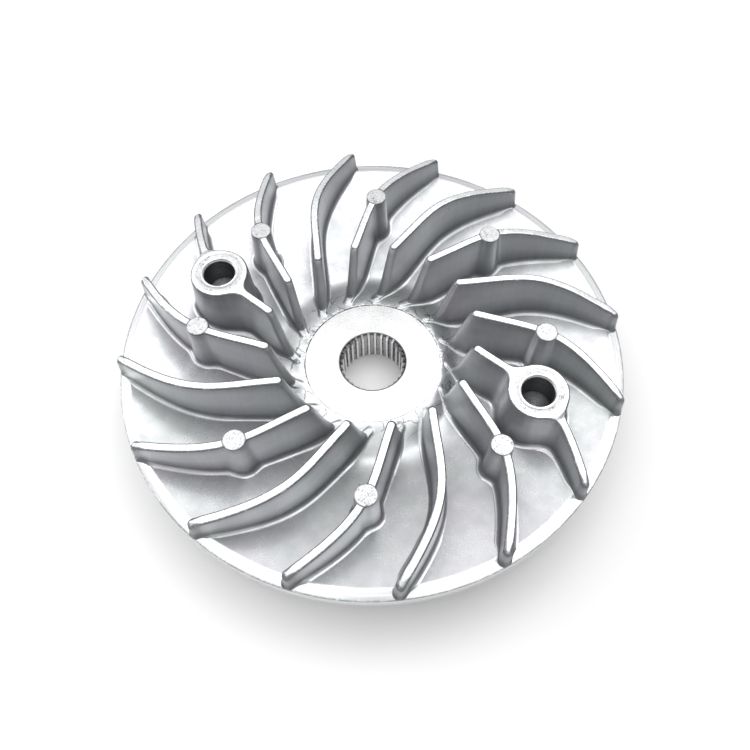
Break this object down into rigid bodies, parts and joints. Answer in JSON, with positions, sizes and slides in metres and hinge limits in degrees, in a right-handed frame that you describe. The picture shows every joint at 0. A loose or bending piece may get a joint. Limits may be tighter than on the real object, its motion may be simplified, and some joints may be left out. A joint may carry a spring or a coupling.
{
  "type": "belt drive face with cooling fan",
  "caption": "Round dished pulley face with a splined bore, swept cooling-fan blades, two tall hollow bosses and a bevelled rim.",
  "frame": {"origin": "centre of the hub's back face", "axes": "+Z along the shaft axis towards the fan side, +X through tool boss 2"},
  "size_m": [0.12, 0.12, 0.0251],
  "materials": {
    "casting": "satin die-cast skin, blade tops and boss faces skimmed bright",
    "machined": "fine machined"
  },
  "bodies": {
    "root": {"sheave_disc": "casting", "splined_hub": "machined", "fan_blade_01_inner": "casting", "fan_blade_01_outer": "casting", "fan_blade_02": "casting", "fan_blade_03": "casting", "fan_blade_04": "casting", "fan_blade_05": "casting", "fan_blade_06": "casting", "fan_blade_07": "casting", "fan_blade_08": "casting", "fan_blade_09_inner": "casting", "fan_blade_09_outer": "casting", "fan_blade_10": "casting", "fan_blade_11": "casting", "fan_blade_12": "casting", "fan_blade_13": "casting", "fan_blade_14": "casting", "fan_blade_15": "casting", "fan_blade_16": "casting", "tool_boss_1": "casting", "tool_boss_2": "casting"}
  },
  "joints": []
}
